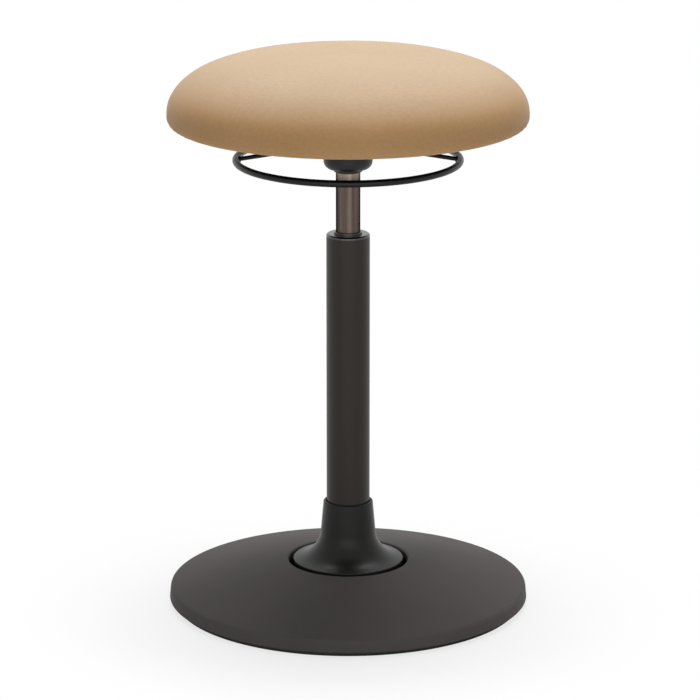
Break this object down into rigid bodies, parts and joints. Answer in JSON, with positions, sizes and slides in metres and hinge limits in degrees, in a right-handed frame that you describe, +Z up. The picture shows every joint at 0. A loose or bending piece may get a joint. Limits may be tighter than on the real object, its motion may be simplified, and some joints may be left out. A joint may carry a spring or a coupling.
{
  "type": "sit-stand stool",
  "caption": "Sit-stand stool with a round padded seat, ring release, gas height column and a weighted domed base on which the column leans.",
  "frame": {"origin": "on the floor, under the middle of the base", "axes": "+Z up along the column, -Y towards the front, +X to the right; seat at its lowest, column upright"},
  "size_m": [0.4176, 0.4176, 0.6502],
  "materials": {
    "black_rubber": "matte",
    "zinc_steel": "satin",
    "hardened_steel": "polished",
    "black_powder_coat": "matte",
    "black_moulding": "satin",
    "pale_moulding": "satin",
    "gunmetal": "satin",
    "brass": "satin",
    "black_casting": "satin",
    "black_wire": "satin",
    "plywood": "matte",
    "foam": "matte",
    "tan_fabric": "matte",
    "black_felt": "matte"
  },
  "bodies": {
    "base": {"floor_ring": "black_rubber", "base_weight": "black_powder_coat", "base_cover": "black_powder_coat", "cover_bosses": "zinc_steel", "cover_screws": "zinc_steel", "mount_plate": "zinc_steel", "mount_screws": "zinc_steel"},
    "mount": {"flex_buffer": "black_rubber"},
    "column": {"taper_socket": "zinc_steel", "column_tube": "black_powder_coat", "collar": "black_moulding", "guide_bush": "black_moulding", "tube_end_plate": "zinc_steel", "lower_race": "hardened_steel", "ball_cage": "pale_moulding", "bearing_balls": "hardened_steel"},
    "rod": {"upper_race": "hardened_steel", "end_bumper": "black_rubber", "piston_rod": "hardened_steel", "rod_clip": "zinc_steel", "piston": "pale_moulding", "piston_seal": "black_rubber"},
    "seat": {"pressure_tube": "gunmetal", "rod_guide": "pale_moulding", "rod_seal": "black_rubber", "valve_body": "brass", "seat_hub": "black_casting", "seat_plate": "zinc_steel", "hub_screws": "zinc_steel", "tee_nuts": "zinc_steel", "seat_pan": "plywood", "seat_foam": "foam", "seat_cover": "tan_fabric", "dust_cover": "black_felt"},
    "release": {"release_hoop": "black_wire", "release_arms": "black_wire", "press_plate": "zinc_steel"},
    "pin": {"release_pin": "hardened_steel"}
  },
  "joints": [
    {"name": "column_lean_fore_aft", "type": "hinge", "parent": "base", "child": "mount", "pos_m": [0, 0, 0.021], "axis": [1, 0, 0], "range_deg": [-5, 5], "stiffness_Nm_per_rad": 400, "deforming": ["flex_buffer"]},
    {"name": "column_lean_sideways", "type": "hinge", "parent": "mount", "child": "column", "pos_m": [0, 0, 0.021], "axis": [0, 1, 0], "range_deg": [-5, 5], "stiffness_Nm_per_rad": 400, "deforming": ["flex_buffer"]},
    {"name": "seat_swivel", "type": "hinge", "parent": "column", "child": "rod", "pos_m": [0, 0, 0.0471], "axis": [0, 0, 1], "continuous": true},
    {"name": "seat_height", "type": "slide", "parent": "rod", "child": "seat", "axis": [0, 0, 1], "range_m": [0, 0.22]},
    {"name": "release_lift", "type": "hinge", "parent": "seat", "child": "release", "pos_m": [0.024, 0, 0.5612], "axis": [0, -1, 0], "range_deg": [0, 6], "stiffness_Nm_per_rad": 2, "springref_deg": -17.19},
    {"name": "valve_pin_press", "type": "slide", "parent": "seat", "child": "pin", "axis": [0, 0, -1], "range_m": [0, 0.00262]}
  ],
  "couplings": [
    {"joint": "valve_pin_press", "follows": "release_lift", "m_per_rad": 0.025}
  ]
}
